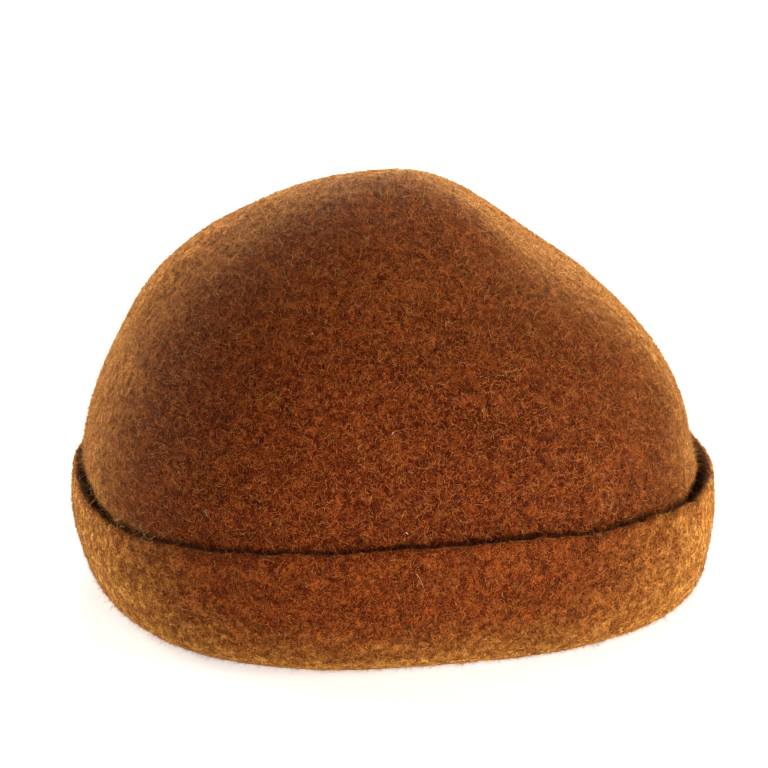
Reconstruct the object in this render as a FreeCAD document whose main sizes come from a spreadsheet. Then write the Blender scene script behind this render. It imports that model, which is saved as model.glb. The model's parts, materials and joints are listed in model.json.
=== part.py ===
"""A soft wool-felt hat with a domed crown and a brim rolled up into a cuff.

Row frame: the hat stands on its rolled brim, +Z is up, the front of the hat faces -Y and the origin is the
centre of the head opening, on the plane the hat stands on. Everything is in millimetres.

The felt shapes are given in plan by one squarish oval, the outside of the cuff at its widest. A place on the
hat is named by its angle round that oval, its inset from it, and its height.
"""

import FreeCAD
import Part
import Sketcher

import math
import os

from FreeCAD import Placement, Rotation, Vector

# Each row is a driving dimension: its alias, its value and what it is.
DIMENSIONS = [
    ("half_long", 120.0, "cuff at its widest, half its length, front to back"),
    ("half_wide", 112.5, "cuff at its widest, half its width"),
    ("squareness", 2.5, "exponent of the oval: 2 is an ellipse"),
    ("felt", 3.0, "thickness of the felt"),
    ("crown_top", 159.0, "height of the crown"),
    ("crown_widest", 47.0, "height at which the crown's wall is widest, just below the cuff's edge"),
    ("widest_inset", 5.8, "inset of the crown's outside there"),
    ("crown_waist", 58.0, "height at which the dome springs from the wall"),
    ("crown_inset", 8.3, "inset of the crown's outside there"),
    ("front_low_fullness", 2.2, "how far the foot of the dome swells out at the front"),
    ("dome_power", 1.6, "how late the dome turns in"),
    ("dome_root", 1.72, "how round the top of the dome is"),
    ("back_slope", 0.23, "share of the radius by which the back of the dome is flattened"),
    ("front_fullness", 0.075, "share of the radius by which the front of the dome is fuller"),
    ("slope_turn", 74.0, "plan angle that the flattened side faces, in degrees"),
    ("headline_high", 8.0, "height of the joint between crown and brim"),
    ("headline_inset", 22.5, "inset of the felt's outside at that joint"),
    ("cuff_widest", 31.5, "height at which the cuff is widest"),
    ("cuff_high", 49.5, "mean height of the cuff's cut edge"),
    ("cuff_lean", 0.6, "how far the cut edge leans in"),
    ("cuff_back_rise", 5.2, "extra height of the cut edge at the back"),
    ("cuff_side_rise", 3.3, "extra height of the cut edge at both sides"),
    ("cuff_twist", -2.7, "extra height of the cut edge across the diagonals"),
    ("cuff_front_peak", 3.5, "extra height of the cut edge beside the centre front"),
    ("cuff_back_push", 1.4, "how far the back of the cuff is pushed out"),
    ("roll_inset", 21.5, "inset of the lowest line of the roll"),
    ("ground_wide", 4.0, "width of the ring on which the soft roll is pressed flat"),
    ("band_low", 5.0, "lower edge of the sweatband"),
    ("band_wide", 28.0, "width of the sweatband ribbon"),
    ("band_thick", 0.9, "thickness of the sweatband ribbon"),
    ("band_gap", 1.2, "room between felt and sweatband for the seam under it"),
    ("band_lean", 3.3, "how far the sweatband leans out towards its top"),
    ("lap_long", 16.0, "length of the lap where the ribbon's ends meet"),
    ("thread", 0.5, "diameter of the sewing thread"),
    ("label_wide", 44.0, "maker's label, along the band"),
    ("label_high", 17.0, "maker's label, up the band"),
    ("label_thick", 0.5, "thickness of the woven labels"),
    ("tab_wide", 12.0, "size tab, along the band"),
    ("tab_high", 9.0, "size tab, up the band"),
    ("care_wide", 20.0, "care label, along its sewn edge"),
    ("care_long", 23.0, "care label, from its fold to its free end"),
    ("care_thick", 0.5, "care label, two layers of satin"),
    ("hem_high", 3.0, "care label, the part that is sewn down"),
    ("bow_loop", 11.5, "length of each loop of the bow"),
    ("bow_deep", 3.6, "depth of each loop of the bow"),
    ("bow_wide", 8.0, "width of the bow's ribbon"),
    ("bow_ribbon", 0.5, "thickness of the bow's ribbon"),
    ("knot_wide", 5.0, "width of the bow's knot"),
    ("knot_deep", 5.4, "depth of the bow's knot"),
    ("tail_long", 14.5, "length of each tail of the bow, from inside the knot"),
]

PLAN_POINTS = 48  # points round each oval
BAND_POINTS = 180  # points round the sweatband, close enough for its lap
BAND_SPANS = 20  # edges round the sweatband
CLEAR = 0.05  # room between a sewn piece and the face it lies on
BACK = 90.0  # plan angle of the centre back, in degrees
CARE_TURN = 62.0  # plan angle of the care label
LABEL_TURN = 122.0  # plan angle of the maker's label
TAB_TURN = 146.0  # plan angle of the size tab
CARE_STAND = 1.7  # room between the band's inner face and the hanging care label, for its own swing
PEAK_TURN = -105.0  # plan angle at which the cuff's cut edge peaks beside the front
PEAK_SPREAD = 0.6  # half width of that peak, in radians
SWELL_HEIGHT = (60.0, 14.0)  # height of the middle of the swelling at the front, and its spread
SLOPE_RISE = (0.82, 0.25)  # share of the dome's height where its back is flattest, and the spread
FULL_RISE = (0.73, 0.33)  # share of the dome's height where its front is fullest, and the spread
TACK_TURNS = (-90.0, -18.0, 54.0, 126.0, 198.0)  # plan angles of the tacks that hold the cuff up

doc = FreeCAD.newDocument("felt_hat")
sheet = doc.addObject("Spreadsheet::Sheet", "Sizes")
for row, (alias, value, meaning) in enumerate(DIMENSIONS, start=1):
    sheet.set(f"A{row}", meaning)
    sheet.set(f"B{row}", str(value))
    sheet.setAlias(f"B{row}", alias)
doc.recompute()


def size(alias):
    """A driving dimension, as the sheet holds it."""
    return float(sheet.get(alias))


# ---------------------------------------------------------------------------------------------------------
# Shapes in plan
# ---------------------------------------------------------------------------------------------------------


def oval_radius(angle):
    """Distance from the centre to the outermost oval, in the direction of a plan angle in radians."""
    power = size("squareness")
    across = abs(math.cos(angle) / size("half_wide")) ** power
    along = abs(math.sin(angle) / size("half_long")) ** power
    return (across + along) ** (-1.0 / power)


def plan_point(angle, radius, height):
    return Vector(radius * math.cos(angle), radius * math.sin(angle), height)


def closed_spline(points, spans):
    """A smooth closed wire through points, made of a number of edges."""
    curve = Part.BSplineCurve()
    curve.interpolate(Points=points, PeriodicFlag=True)
    if spans == 1:
        return Part.Wire([curve.toShape()])
    first, last = curve.FirstParameter, curve.LastParameter
    ends = [first + (last - first) * k / spans for k in range(spans + 1)]
    return Part.Wire([curve.toShape(*pair) for pair in zip(ends, ends[1:])])


def ring_wire(radius_at, height, count=PLAN_POINTS, spans=1):
    """A level closed wire whose radius is a function of the plan angle."""
    angles = [2 * math.pi * k / count for k in range(count)]
    return closed_spline([plan_point(a, radius_at(a), height) for a in angles], spans)


def oval_at(inset):
    """The radius function of the oval that lies this far inside the outermost one."""
    return lambda angle: oval_radius(angle) - inset


def outward_at(turn):
    """Unit vector square to the oval at a plan angle in degrees, pointing out of the hat."""
    angle, step = math.radians(turn), 0.01
    before = plan_point(angle - step, oval_radius(angle - step), 0)
    after = plan_point(angle + step, oval_radius(angle + step), 0)
    along = (after - before).normalize()
    return Vector(along.y, -along.x, 0)


def stand_on_wall(turn, inset, height):
    """Placement whose X runs along the wall, Y points out of the hat and Z is up, at a place on the wall."""
    angle = math.radians(turn)
    out = outward_at(turn)
    along = out.cross(Vector(0, 0, 1))
    turned = Rotation(along, out, Vector(0, 0, 1), "XYZ")
    return Placement(plan_point(angle, oval_radius(angle) - inset, height), turned)


# ---------------------------------------------------------------------------------------------------------
# Document objects
# ---------------------------------------------------------------------------------------------------------


def feature(name, shape, placement=None):
    """A Part::Feature holding a shape that has been worked out from the sheet."""
    thing = doc.addObject("Part::Feature", name)
    thing.Shape = shape
    if placement is not None:
        thing.Placement = placement
    return thing


def loft(name, wires):
    """A solid through level wires, from the lowest to the highest."""
    thing = doc.addObject("Part::Loft", name)
    thing.Sections = [feature(f"{name}_section_{k}", wire) for k, wire in enumerate(wires)]
    thing.Solid = True
    thing.Ruled = False
    return thing


def cut(name, base, tool):
    thing = doc.addObject("Part::Cut", name)
    thing.Base = base
    thing.Tool = tool
    return thing


def common(name, base, tool):
    thing = doc.addObject("Part::Common", name)
    thing.Base = base
    thing.Tool = tool
    return thing


def box(name, placement, **bound):
    """A box whose Length, Width and Height are expressions on the sheet."""
    thing = doc.addObject("Part::Box", name)
    thing.Placement = placement
    for key, expression in bound.items():
        thing.setExpression(key, expression)
    return thing


def plane_of(body, role):
    return next(f for f in body.Origin.OriginFeatures if f.Role == role)


def sketch_in(body, name, role):
    sketch = body.newObject("Sketcher::SketchObject", name)
    sketch.AttachmentSupport = [(plane_of(body, role), "")]
    sketch.MapMode = "FlatFace"
    return sketch


# ---------------------------------------------------------------------------------------------------------
# Crown
# ---------------------------------------------------------------------------------------------------------


def bell(value, centre, spread):
    return math.exp(-(((value - centre) / spread) ** 2))


def dome_share(rise):
    """Radius of the dome as a share of its widest, at a share of its height."""
    return max(0.0, 1 - rise ** size("dome_power")) ** (1 / size("dome_root"))


def hand_shaping(angle, rise):
    """The flattened back and the fuller front of the dome, as a factor on its radius."""
    facing = math.cos(angle - math.radians(size("slope_turn")))
    slope = size("back_slope") * bell(rise, *SLOPE_RISE) * max(0.0, facing) ** 2
    full = size("front_fullness") * bell(rise, *FULL_RISE) * max(0.0, -facing) ** 2
    return 1 - slope + full


def wall_share(height):
    """How far up its wall a height lies: 0 at the head line and 1 where the crown is widest."""
    return (height - size("headline_high")) / (size("crown_widest") - size("headline_high"))


def wall_inset(height):
    """Inset of the outside of the crown's wall, which flares from the head line to its widest."""
    share = wall_share(height)
    flare = size("headline_inset") - size("widest_inset")
    return size("headline_inset") - flare * share * share * (3 - 2 * share)


def low_fullness(angle, height):
    """How far the foot of the dome swells out at the front, at a height."""
    return size("front_low_fullness") * bell(height, *SWELL_HEIGHT) * max(0.0, -math.sin(angle))


def crown_levels():
    """(height, radius function, steepness in radians) of each level of the crown's outside, going up.

    Steepness is 0 where the wall is upright and a right angle at the top."""
    low, widest = size("headline_high"), size("crown_widest")
    waist, top, in_waist = size("crown_waist"), size("crown_top"), size("crown_inset")
    levels = []
    wall_steps = 6
    for k in range(wall_steps + 1):
        share = k / wall_steps
        height = low + (widest - low) * share
        slope = (size("headline_inset") - size("widest_inset")) * 6 * share * (1 - share) / (widest - low)

        def wall_radius(angle, height=height, share=share):
            return oval_radius(angle) - wall_inset(height) + share * low_fullness(angle, height)

        levels.append((height, wall_radius, -math.atan(slope)))
    mean_radius = (size("half_long") + size("half_wide")) / 2 - in_waist
    dome_turns = [0, 9, 18, 27, 36, 44, 52, 59, 66, 72, 77.5, 82, 85.5, 87.5]
    for turn in dome_turns:
        rise = math.sin(math.radians(turn))
        nearby = 0.002
        inward = dome_share(max(0.0, rise - nearby)) - dome_share(min(1.0, rise + nearby))
        steep = math.atan(inward * mean_radius / (2 * nearby * (top - waist)))

        height = waist + (top - waist) * rise

        def radius_at(angle, rise=rise, height=height):
            dome = (oval_radius(angle) - in_waist) * dome_share(rise) * hand_shaping(angle, rise)
            return dome + low_fullness(angle, height)

        levels.append((height, radius_at, steep))
    return levels


def make_crown():
    """One blocked felt shell, open below, with its cut lower edge on the head line."""
    felt = size("felt")
    outside, inside = [], []
    for height, radius_at, steep in crown_levels():
        outside.append(ring_wire(radius_at, height))
        inner_height = height - felt * math.sin(steep)
        step_in = felt * math.cos(steep)
        if radius_at(0.0) - step_in > 2 * felt:
            inside.append(ring_wire(lambda a, r=radius_at, s=step_in: r(a) - s, inner_height))
    below = size("headline_high") - felt
    inside.insert(0, ring_wire(oval_at(size("headline_inset") + felt), below))
    return cut("crown", loft("crown_block", outside), loft("crown_hollow", inside))


# ---------------------------------------------------------------------------------------------------------
# Brim
# ---------------------------------------------------------------------------------------------------------


def cut_edge_height(angle):
    """Height of the cuff's cut edge: a hand-turned brim stands higher at the back and at the sides."""
    back = size("cuff_back_rise") * math.sin(angle)
    side = size("cuff_side_rise") * math.cos(2 * angle)
    twist = size("cuff_twist") * math.sin(2 * angle)
    past_front = abs((angle - math.radians(PEAK_TURN) + math.pi) % (2 * math.pi) - math.pi)
    peak = size("cuff_front_peak") * bell(past_front, 0.0, PEAK_SPREAD)
    return size("cuff_high") + back + side + twist + peak


def push(angle, height):
    """How far the cuff is pushed out at a height: nothing at the head line, and all from its widest up."""
    rise = (height - size("headline_high")) / (size("cuff_widest") - size("headline_high"))
    share = min(1.0, max(0.0, rise)) ** 2
    return size("cuff_back_push") * share * max(0.0, math.sin(angle)) ** 2


def quarter_ellipse(centre, inset_axis, height_axis, turns):
    """Points (inset, height) on an ellipse about a centre. Turn 0 is its lowest point and 90 its outermost."""
    points = []
    for turn in turns:
        angle = math.radians(turn)
        points.append((centre[0] - inset_axis * math.sin(angle), centre[1] - height_axis * math.cos(angle)))
    return points


def outer_face_outline(angle):
    """Poles (inset, height) of the felt from the ground round the roll, over the cut edge, down inside the
    cuff and up to the head line."""
    felt, low, top = size("felt"), size("headline_high"), cut_edge_height(angle)
    roll, widest, lean = size("roll_inset"), size("cuff_widest"), size("cuff_lean")
    turns = (14, 28, 42, 55, 67, 79, 90)
    middle = (widest + top) / 2
    outline = [(roll - size("ground_wide") / 2, 0)]
    outline += quarter_ellipse((roll, widest), roll, widest, turns)
    outline += [(lean * 0.25, middle), (lean * 0.8, top - 3.0), (lean, top - 0.5), (lean + 0.9, top + 0.2)]
    outline += [(lean + felt - 0.7, top + 0.1), (lean + felt, top - 1.0), (lean * 0.8 + felt, top - 4.5)]
    outline += [(lean * 0.25 + felt, middle)]
    outline += reversed(quarter_ellipse((roll, widest), roll - felt, widest - felt, turns))
    fold = size("headline_inset")
    outline += [(fold - 2.2, felt), (fold - 0.5, felt + 0.9), (fold, low - 2.4), (fold, low)]
    return [(inset - push(angle, height), height) for inset, height in outline]


def inner_face_outline():
    """Poles (inset, height) of the felt from the head line down the head opening to the ground."""
    inner = size("headline_inset") + size("felt")
    ground = size("roll_inset") + size("ground_wide") / 2
    low = size("headline_high")
    return [(inner, low), (inner, low * 0.7), (inner, low * 0.3), (inner - 0.5, 0.6), (ground, 0)]


def skin(outline_at):
    """A smooth face, closed round the hat, over the poles that an outline function gives at each angle."""
    step = 2 * math.pi / PLAN_POINTS
    swell = 3 / (2 + math.cos(step))
    poles = []
    for k in range(PLAN_POINTS):
        angle = k * step
        radius = oval_radius(angle)
        poles.append([plan_point(angle, (radius - i) * swell, z) for i, z in outline_at(angle)])
    across = len(poles[0])
    surface = Part.BSplineSurface()
    surface.buildFromPolesMultsKnots(
        poles,
        [1] * (PLAN_POINTS + 1),
        [4] + [1] * (across - 4) + [4],
        list(range(PLAN_POINTS + 1)),
        list(range(across - 2)),
        True,
        False,
        3,
        3,
    )
    return surface.toShape()


def rims(face):
    """The two closed edges of a skin, the lower one first."""
    closed = [e for e in face.Edges if e.isClosed() and e.Length > 100 and e.BoundBox.ZLength < 0.01]
    return [Part.Wire([e]) for e in sorted(closed, key=lambda e: e.BoundBox.ZMin)]


def flat_ring(wire, other):
    """The level face between two closed wires."""
    wide, narrow = sorted((wire, other), key=lambda w: -w.Length)
    return Part.Face([wide, narrow])


def closed_solid(faces):
    """The solid inside faces that meet edge to edge."""
    shell = Part.Shell(sum((face.Faces for face in faces), []))
    shell.sewShape()
    solid = Part.Solid(shell)
    if solid.Volume < 0:
        solid.reverse()
    return solid


def make_brim():
    """The brim, turned under and up again into a cuff, with its roll pressed flat where it stands."""
    outer, inner = skin(outer_face_outline), skin(lambda angle: inner_face_outline())
    (outer_ground, outer_head), (inner_ground, inner_head) = rims(outer), rims(inner)
    faces = [outer, inner, flat_ring(outer_ground, inner_ground), flat_ring(outer_head, inner_head)]
    return feature("brim", closed_solid(faces))


# ---------------------------------------------------------------------------------------------------------
# Sweatband and what is sewn on it
# ---------------------------------------------------------------------------------------------------------


def band_inset(height, depth=0.0):
    """Inset of the sweatband's outer face at a height, and of a face lying deeper by a depth."""
    share = (height - size("band_low")) / size("band_wide")
    felt_face = size("headline_inset") + size("felt")
    return felt_face + size("band_gap") - size("band_lean") * share + depth


def band_shell(name, low, high, near, far):
    """A hoop between two depths from the sweatband's outer face, from one height to another."""
    outer = loft(f"{name}_outer", [ring_wire(oval_at(band_inset(z, near)), z) for z in (low, high)])
    past = 1.0
    walls = [ring_wire(oval_at(band_inset(z, far)), z) for z in (low - past, high + past)]
    return cut(f"{name}_hoop", outer, loft(f"{name}_inner", walls))


def wall_block(name, turn, wide, high, low):
    """A block that reaches through the wall at a plan angle, for taking a piece out of a hoop.

    Its width along the wall and its height are named by their aliases, and low is its lower edge."""
    deep = 40.0
    place = stand_on_wall(turn, size("headline_inset"), low)
    corner = Placement(Vector(-size(wide) / 2, -deep / 2, 0), Rotation())
    return box(name, place.multiply(corner), Length=f"Sizes.{wide}", Width=str(deep), Height=f"Sizes.{high}")


def patch(name, turn, wide, high, low, near, far):
    """A piece of thin material that follows the band."""
    hoop = band_shell(name, low - 1, low + size(high) + 1, near, far)
    return common(name, hoop, wall_block(f"{name}_block", turn, wide, high, low))


def lap_share(angle):
    """1 where the ribbon's ends lap, 0 elsewhere, and between them over the feathered ends of the lap."""
    feather = 0.03
    half = size("lap_long") / 2 / size("half_long")
    beyond = abs(angle - math.radians(BACK)) - half
    return min(1.0, max(0.0, 0.5 - beyond / feather))


def make_sweatband():
    """A grosgrain ribbon hoop, twice as thick at the centre back, where its ends lap."""
    low, high, thick = size("band_low"), size("band_low") + size("band_wide"), size("band_thick")
    past = 1.0

    def inner_radius(angle, height):
        return oval_radius(angle) - band_inset(height, thick * (1 + lap_share(angle)))

    def band_wire(radius_at, height):
        return ring_wire(radius_at, height, BAND_POINTS, BAND_SPANS)

    outer = [band_wire(oval_at(band_inset(z)), z) for z in (low, high)]
    inner = [band_wire(lambda a, z=z: inner_radius(a, z), z) for z in (low - past, high + past)]
    return cut("sweatband", loft("sweatband_outer", outer), loft("sweatband_inner", inner))


def label_span(high_alias):
    """Lower and upper edge of a label centred on the band."""
    centre = size("band_low") + size("band_wide") / 2 + 1.0
    return centre - size(high_alias) / 2, centre + size(high_alias) / 2


def make_maker_label():
    near = size("band_thick") + CLEAR
    far = near + size("label_thick")
    return patch("maker_label", LABEL_TURN, "label_wide", "label_high", label_span("label_high")[0], near, far)


def make_size_tab():
    near = size("band_thick") + CLEAR
    far = near + size("label_thick")
    return patch("size_tab", TAB_TURN, "tab_wide", "tab_high", label_span("tab_high")[0], near, far)


def care_hem_span():
    """Lower and upper edge of the part of the care label that is sewn down."""
    top = size("band_low") + size("band_wide") - 0.6
    return top - size("hem_high"), top


def make_care_hem():
    near = size("band_thick") + CLEAR
    far = near + size("care_thick")
    return patch("care_label_hem", CARE_TURN, "care_wide", "hem_high", care_hem_span()[0], near, far)


def stand_on_band(turn, height, depth):
    """Placement on the leaning band: X runs along it, Y points out of the hat and Z goes up the band."""
    upright = stand_on_wall(turn, band_inset(height, depth), height)
    lean = math.degrees(math.atan2(size("band_lean"), size("band_wide")))
    return upright.multiply(Placement(Vector(0, 0, 0), Rotation(Vector(1, 0, 0), -lean)))


def care_place():
    """Placement of the care label's fold, along X."""
    height = care_hem_span()[0] - size("care_thick")
    return stand_on_band(CARE_TURN, height, size("band_thick") + CARE_STAND)


def make_care_label():
    """The free part of a folded satin label, which hangs from its sewn hem and turns up on the fold."""
    body = doc.addObject("PartDesign::Body", "care_label")
    sketch = sketch_in(body, "care_outline", "XZ_Plane")
    corners = [Vector(-1, 0, 0), Vector(1, 0, 0), Vector(1, -2, 0), Vector(-1, -2, 0)]
    for k in range(4):
        sketch.addGeometry(Part.LineSegment(corners[k], corners[(k + 1) % 4]), False)
    join_corners(sketch)
    wide = sketch.addConstraint(Sketcher.Constraint("DistanceX", 0, 1, 0, 2, 2.0))
    drop = sketch.addConstraint(Sketcher.Constraint("DistanceY", 1, 2, 1, 1, 2.0))
    sketch.addConstraint(Sketcher.Constraint("Symmetric", 0, 1, 0, 2, -1, 1))
    sketch.setExpression(f"Constraints[{wide}]", "Sizes.care_wide")
    sketch.setExpression(f"Constraints[{drop}]", "Sizes.care_long")
    pad = body.newObject("PartDesign::Pad", "care_cloth")
    pad.Profile = sketch
    pad.setExpression("Length", "Sizes.care_thick")
    pad.Midplane = True
    body.Placement = care_place()
    return body


def join_corners(sketch):
    """Makes four lines a rectangle that stays square to the axes."""
    for k in range(4):
        sketch.addConstraint(Sketcher.Constraint("Coincident", k, 2, (k + 1) % 4, 1))
    for k, kind in enumerate(("Horizontal", "Vertical", "Horizontal", "Vertical")):
        sketch.addConstraint(Sketcher.Constraint(kind, k))


def bow_stand():
    """Room between the lap and the bow's loops, for the lap's stitches and the bow's tails."""
    return size("thread") + size("bow_ribbon") + 6 * CLEAR


def bow_place():
    """Placement of the bow's centre on the lap, at the back of its loops."""
    height = size("band_low") + size("band_wide") * 0.5
    return stand_on_band(BACK, height, 2 * size("band_thick") + bow_stand())


def bow_ellipse(name, side, less):
    """A level ellipse as long and deep as a loop, less a number of ribbon thicknesses."""
    ellipse = doc.addObject("Part::Ellipse", name)
    ellipse.setExpression("MajorRadius", f"(Sizes.bow_loop - {less} * Sizes.bow_ribbon) / 2")
    ellipse.setExpression("MinorRadius", f"(Sizes.bow_deep - {less} * Sizes.bow_ribbon) / 2")
    reach = "Sizes.knot_wide / 2 + Sizes.bow_loop / 2"
    ellipse.setExpression("Placement.Base.x", f"{side} * ({reach} + {CLEAR})")
    ellipse.setExpression("Placement.Base.y", "-Sizes.bow_deep / 2")
    ellipse.setExpression("Placement.Base.z", "-Sizes.bow_wide / 2")
    return ellipse


def make_bow_loop(name, side):
    """One loop of the bow: a flattened ring of ribbon standing on its edge."""
    rolls = []
    for less in (0, 2):
        roll = doc.addObject("Part::Extrusion", f"{name}_{less}")
        roll.Base = bow_ellipse(f"{name}_ellipse_{less}", side, less)
        roll.Dir = Vector(0, 0, 1)
        roll.Solid = True
        roll.setExpression("LengthFwd", "Sizes.bow_wide")
        rolls.append(roll)
    loop = cut(name, *rolls)
    loop.Placement = bow_place()
    return loop


def make_bow_knot():
    """The short wrap round the middle of the bow, from the lap to past its loops."""
    taller = 1.0
    rounding = 1.2
    corner = Vector(-size("knot_wide") / 2, bow_stand() - CLEAR - size("knot_deep"), 0)
    corner.z = -(size("bow_wide") + taller) / 2
    knot = box(
        "knot_block",
        bow_place().multiply(Placement(corner, Rotation())),
        Length="Sizes.knot_wide",
        Width="Sizes.knot_deep",
        Height=f"Sizes.bow_wide + {taller}",
    )
    doc.recompute()
    rounded = doc.addObject("Part::Fillet", "bow_knot")
    rounded.Base = knot
    tall = size("bow_wide") + taller
    upright = [k for k, e in enumerate(knot.Shape.Edges, start=1) if abs(e.Length - tall) < 1e-6]
    rounded.Edges = [(k, rounding, rounding) for k in upright]
    return rounded


def make_bow_tail(name, side, knot):
    """One tail of the bow, which comes out from behind the knot and slopes down behind its loop."""
    narrower = 1.5
    slope = 32.0
    half_high = (size("bow_wide") - narrower) / 2
    start = Vector(side * size("knot_wide") / 4, 2 * CLEAR, 0)
    turned = Rotation(Vector(0, 1, 0), slope if side > 0 else 180 - slope)
    local = Placement(start, turned).multiply(Placement(Vector(0, 0, -half_high), Rotation()))
    ribbon = box(
        f"{name}_ribbon",
        bow_place().multiply(local),
        Length="Sizes.tail_long",
        Width="Sizes.bow_ribbon",
        Height=f"Sizes.bow_wide - {narrower}",
    )
    return cut(name, ribbon, knot)


# ---------------------------------------------------------------------------------------------------------
# Threads
# ---------------------------------------------------------------------------------------------------------


def thread_between(first, last, thick):
    along = last - first
    return Part.makeCylinder(thick / 2, along.Length, first, along)


def thread_group(name, ends, thick):
    """Separate straight stitches, given by their ends, in one object."""
    return feature(name, Part.makeCompound([thread_between(a, b, thick) for a, b in ends]))


def wall_point(turn, inset, height):
    angle = math.radians(turn)
    return plan_point(angle, oval_radius(angle) - inset, height)


def make_headline_seam():
    """Oversewing that joins the brim to the crown, on the inside and under the sweatband."""
    count = 72
    reach = 2.2
    face = size("headline_inset") + size("felt") + size("thread") / 2
    low, high = size("headline_high") - reach, size("headline_high") + reach
    off_brim = 5 * CLEAR
    lean = 1.4
    step = 360.0 / count
    ends = []
    for k in range(count):
        turn = k * step
        ends.append((wall_point(turn, face + off_brim, low), wall_point(turn + lean, face, high)))
    return thread_group("headline_seam", ends, size("thread"))


def make_band_stitches():
    """The line of stitches along the sweatband's lower edge."""
    count = 120
    height = size("band_low") + 2.5
    inset = band_inset(height, size("band_thick") + size("thread") / 2 + CLEAR)
    step = 360.0 / count
    length = 0.62 * step
    lap_half = math.degrees(size("lap_long") / 2 / size("half_long")) + step
    ends = []
    for k in range(count):
        turn = k * step
        if abs(turn + length / 2 - BACK) > lap_half:
            ends.append((wall_point(turn, inset, height), wall_point(turn + length, inset, height)))
    return thread_group("sweatband_stitches", ends, size("thread"))


def make_lap_stitches():
    """Two upright rows of stitches through the lap."""
    depth = 2 * size("band_thick") + size("thread") / 2 + CLEAR
    rows = 5
    pitch = size("band_wide") / (rows + 0.6)
    ends = []
    for side in (-1, 1):
        turn = BACK + side * math.degrees((size("lap_long") / 2 - 1.5) / size("half_long"))
        for k in range(rows):
            low = size("band_low") + pitch * (k + 0.5)
            high = low + pitch * 0.62
            first = wall_point(turn, band_inset(low, depth), low)
            ends.append((first, wall_point(turn, band_inset(high, depth), high)))
    return thread_group("lap_stitches", ends, size("thread"))


def make_label_stitches():
    """Upright tacking stitches over both ends of the maker's label and over the size tab's ends."""
    depth = size("band_thick") + size("label_thick") + size("thread") / 2 + 2 * CLEAR
    ends = []
    for turn, width, span in (
        (LABEL_TURN, size("label_wide"), label_span("label_high")),
        (TAB_TURN, size("tab_wide"), label_span("tab_high")),
    ):
        low, high = span
        count = 4 if high - low > 12 else 2
        pitch = (high - low) / count
        for side in (-1, 1):
            offset = side * (width / 2 - 1.2)
            for k in range(count):
                z = low + pitch * (k + 0.2)
                place = stand_on_wall(turn, 0, 0)
                first = on_band(place, offset, depth, z)
                ends.append((first, on_band(place, offset, depth, z + pitch * 0.6)))
    return thread_group("label_stitches", ends, size("thread"))


def on_band(place, offset, depth, height):
    """The point on the band's face that lies beside a place on the wall by an offset along it."""
    beside = place.multVec(Vector(offset, 0, 0))
    angle = math.atan2(beside.y, beside.x)
    return plan_point(angle, oval_radius(angle) - band_inset(height, depth), height)


def make_care_stitches():
    """The row of stitches through the care label's hem."""
    count = 6
    pitch = (size("care_wide") - 1.0) / count
    low, high = care_hem_span()
    height = (low + high) / 2
    depth = size("band_thick") + size("care_thick") + size("thread") / 2 + 2 * CLEAR
    place = stand_on_wall(CARE_TURN, 0, 0)
    ends = []
    for k in range(count):
        start = (k - count / 2) * pitch + pitch * 0.18
        first = on_band(place, start, depth, height)
        ends.append((first, on_band(place, start + pitch * 0.64, depth, height)))
    return thread_group("care_label_stitches", ends, size("thread"))


def make_brim_tacks():
    """Short thread bars across the gap that hold the cuff against the crown, hidden below its edge."""
    below_edge = 9.0
    ends = []
    for turn in TACK_TURNS:
        angle = math.radians(turn)
        height = cut_edge_height(angle) - below_edge
        crown_face = wall_inset(height) - wall_share(height) * low_fullness(angle, height)
        cuff_face = size("felt") + size("cuff_lean") * 0.5 - push(angle, height)
        bite = 1.0
        ends.append((wall_point(turn, crown_face + bite, height), wall_point(turn, cuff_face - bite, height)))
    return thread_group("brim_tacks", ends, 2 * size("thread"))


# ---------------------------------------------------------------------------------------------------------
# Build, check and write
# ---------------------------------------------------------------------------------------------------------

bow_knot = make_bow_knot()
parts = [
    make_crown(),
    make_brim(),
    make_headline_seam(),
    make_brim_tacks(),
    make_sweatband(),
    make_band_stitches(),
    make_lap_stitches(),
    make_bow_loop("bow_loop_left", 1),
    make_bow_loop("bow_loop_right", -1),
    make_bow_tail("bow_tail_left", 1, bow_knot),
    make_bow_tail("bow_tail_right", -1, bow_knot),
    bow_knot,
    make_maker_label(),
    make_size_tab(),
    make_label_stitches(),
    make_care_hem(),
    make_care_label(),
    make_care_stitches(),
]
doc.recompute()

for thing in doc.Objects:
    if {"Invalid", "Error"} & set(thing.State):
        raise RuntimeError(f"{thing.Label} did not build: {thing.State}")

os.makedirs("parts", exist_ok=True)
for part in parts:
    shape = part.Shape
    if shape.isNull() or not shape.isValid() or not shape.Solids:
        raise RuntimeError(f"{part.Label} has no valid solid")
    box_of = shape.optimalBoundingBox()
    print(
        f"{part.Label:20s} solids {len(shape.Solids):3d}  volume {shape.Volume:10.1f}  "
        f"x {box_of.XMin:7.1f} {box_of.XMax:7.1f}  y {box_of.YMin:7.1f} {box_of.YMax:7.1f}  "
        f"z {box_of.ZMin:6.1f} {box_of.ZMax:6.1f}"
    )
    shape.exportStep(f"parts/{part.Label}.step")


def girth(inset):
    """Length round the hat at an inset from the outermost oval."""
    return ring_wire(oval_at(inset), 0).Length


print(f"round the head opening {girth(size('headline_inset') + size('felt')):.1f}")
print(f"round the inside of the sweatband {girth(band_inset(size('band_low'), size('band_thick'))):.1f}")
care = care_place()
print("care label hinge", [round(v, 3) for v in care.Base], "along", care.Rotation.multVec(Vector(1, 0, 0)))
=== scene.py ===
"""A soft wool-felt hat with its brim rolled up into a cuff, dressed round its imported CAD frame."""

import json
import math

import bmesh
import bpy
import numpy as np
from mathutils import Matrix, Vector, noise
from mathutils.bvhtree import BVHTree


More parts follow.
